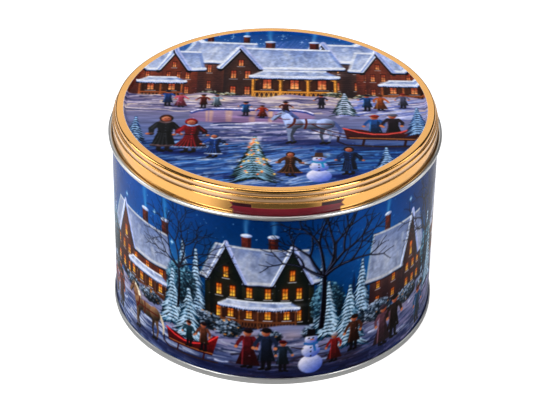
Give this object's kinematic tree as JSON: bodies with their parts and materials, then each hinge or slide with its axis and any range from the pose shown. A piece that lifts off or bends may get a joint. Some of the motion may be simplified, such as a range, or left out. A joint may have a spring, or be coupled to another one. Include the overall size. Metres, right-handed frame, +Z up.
{
  "type": "cookie tin",
  "caption": "Round tinplate cookie tin: a printed rolled wall with a necked rim, a base plate double-seamed to its foot, and a lift-off slip lid with a stepped gold rim and a curled edge.",
  "frame": {"origin": "centre of the tin's foot, on the surface it stands on", "axes": "+Z up along the tin's axis, from the foot to the lid; -Y towards the front of the printed picture; the side seam is at +Y"},
  "size_m": [0.2046, 0.2046, 0.1368],
  "materials": {
    "printed_wall": "glossy printed lacquer",
    "bare_tinplate": "bare tinplate",
    "gold_lid": "satin gold lacquer"
  },
  "bodies": {
    "tin": {"body_wall": "printed_wall", "base_plate": "bare_tinplate"},
    "lid": {"lid_shell": "gold_lid"}
  },
  "joints": [
    {"name": "lid_lift", "type": "slide", "parent": "tin", "child": "lid", "axis": [0, 0, 1], "range_m": [0, 0.15]}
  ]
}
